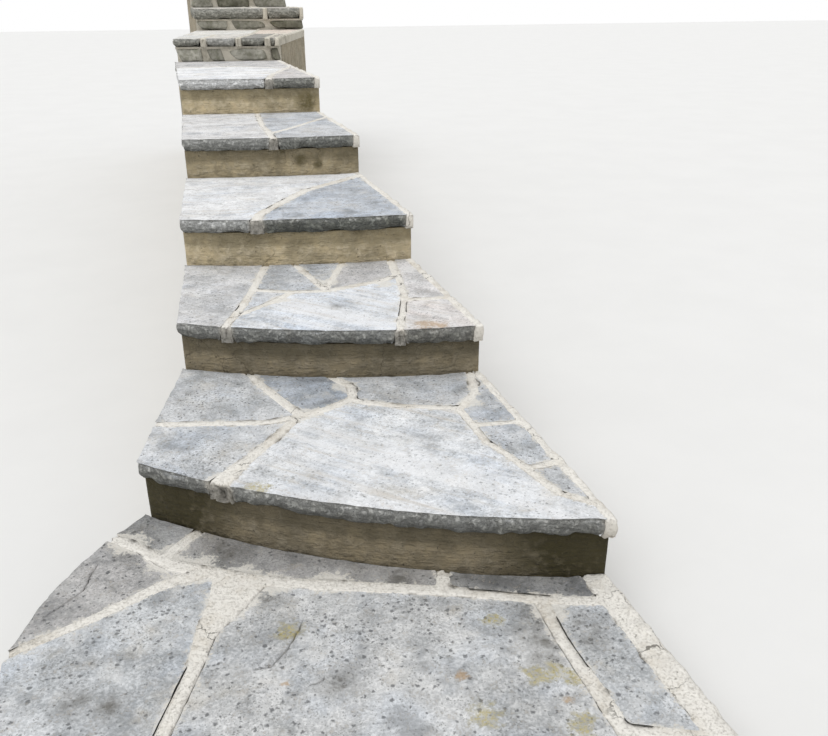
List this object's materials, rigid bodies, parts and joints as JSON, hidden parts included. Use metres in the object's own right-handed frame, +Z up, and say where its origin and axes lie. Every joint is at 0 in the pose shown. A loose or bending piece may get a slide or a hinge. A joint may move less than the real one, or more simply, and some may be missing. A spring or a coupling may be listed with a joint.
{
  "type": "outdoor stone steps",
  "caption": "Outdoor flight of stone steps beside a wall, with fanning crazy-paved treads over rendered and rubble risers.",
  "frame": {"origin": "middle of the flat base, in the middle of the overall box", "axes": "+X towards the house wall, +Y up the flight, +Z up"},
  "size_m": [1.875, 8.6502, 1.56],
  "materials": {
    "flagstone": "riven grey flagstone with dark speckle",
    "pale_flagstone": "riven pale grey flagstone with white streaks",
    "mossy_flagstone": "weathered flagstone with moss",
    "mortar": "sandy cream mortar",
    "render": "ochre float-finished render with dark stains",
    "rubble": "rough split stone",
    "masonry": "rendered masonry"
  },
  "bodies": {
    "root": {"end_wall": "masonry", "landing_core": "masonry", "landing_flags": "flagstone", "landing_mortar": "mortar", "landing_riser": "render", "step_1_core": "masonry", "step_1_flags": "flagstone", "step_1_mortar": "mortar", "step_1_riser": "render", "step_2_core": "masonry", "step_2_flags": "flagstone", "step_2_mortar": "mortar", "step_2_riser": "render", "step_3_core": "masonry", "step_3_flags": "pale_flagstone", "step_3_mortar": "mortar", "step_3_riser": "render", "step_4_core": "masonry", "step_4_flags": "pale_flagstone", "step_4_mortar": "mortar", "step_4_riser": "render", "step_5_core": "masonry", "step_5_flags": "pale_flagstone", "step_5_mortar": "mortar", "step_5_riser": "render", "step_6_core": "masonry", "step_6_flags": "mossy_flagstone", "step_6_mortar": "mortar", "step_6_riser_mortar": "mortar", "step_6_riser_stones": "rubble", "step_7_core": "masonry", "step_7_flags": "mossy_flagstone", "step_7_mortar": "mortar", "step_7_riser_mortar": "mortar", "step_7_riser_stones": "rubble", "step_8_core": "masonry", "step_8_flags": "mossy_flagstone", "step_8_mortar": "mortar", "step_8_riser_mortar": "mortar", "step_8_riser_stones": "rubble"}
  },
  "joints": []
}
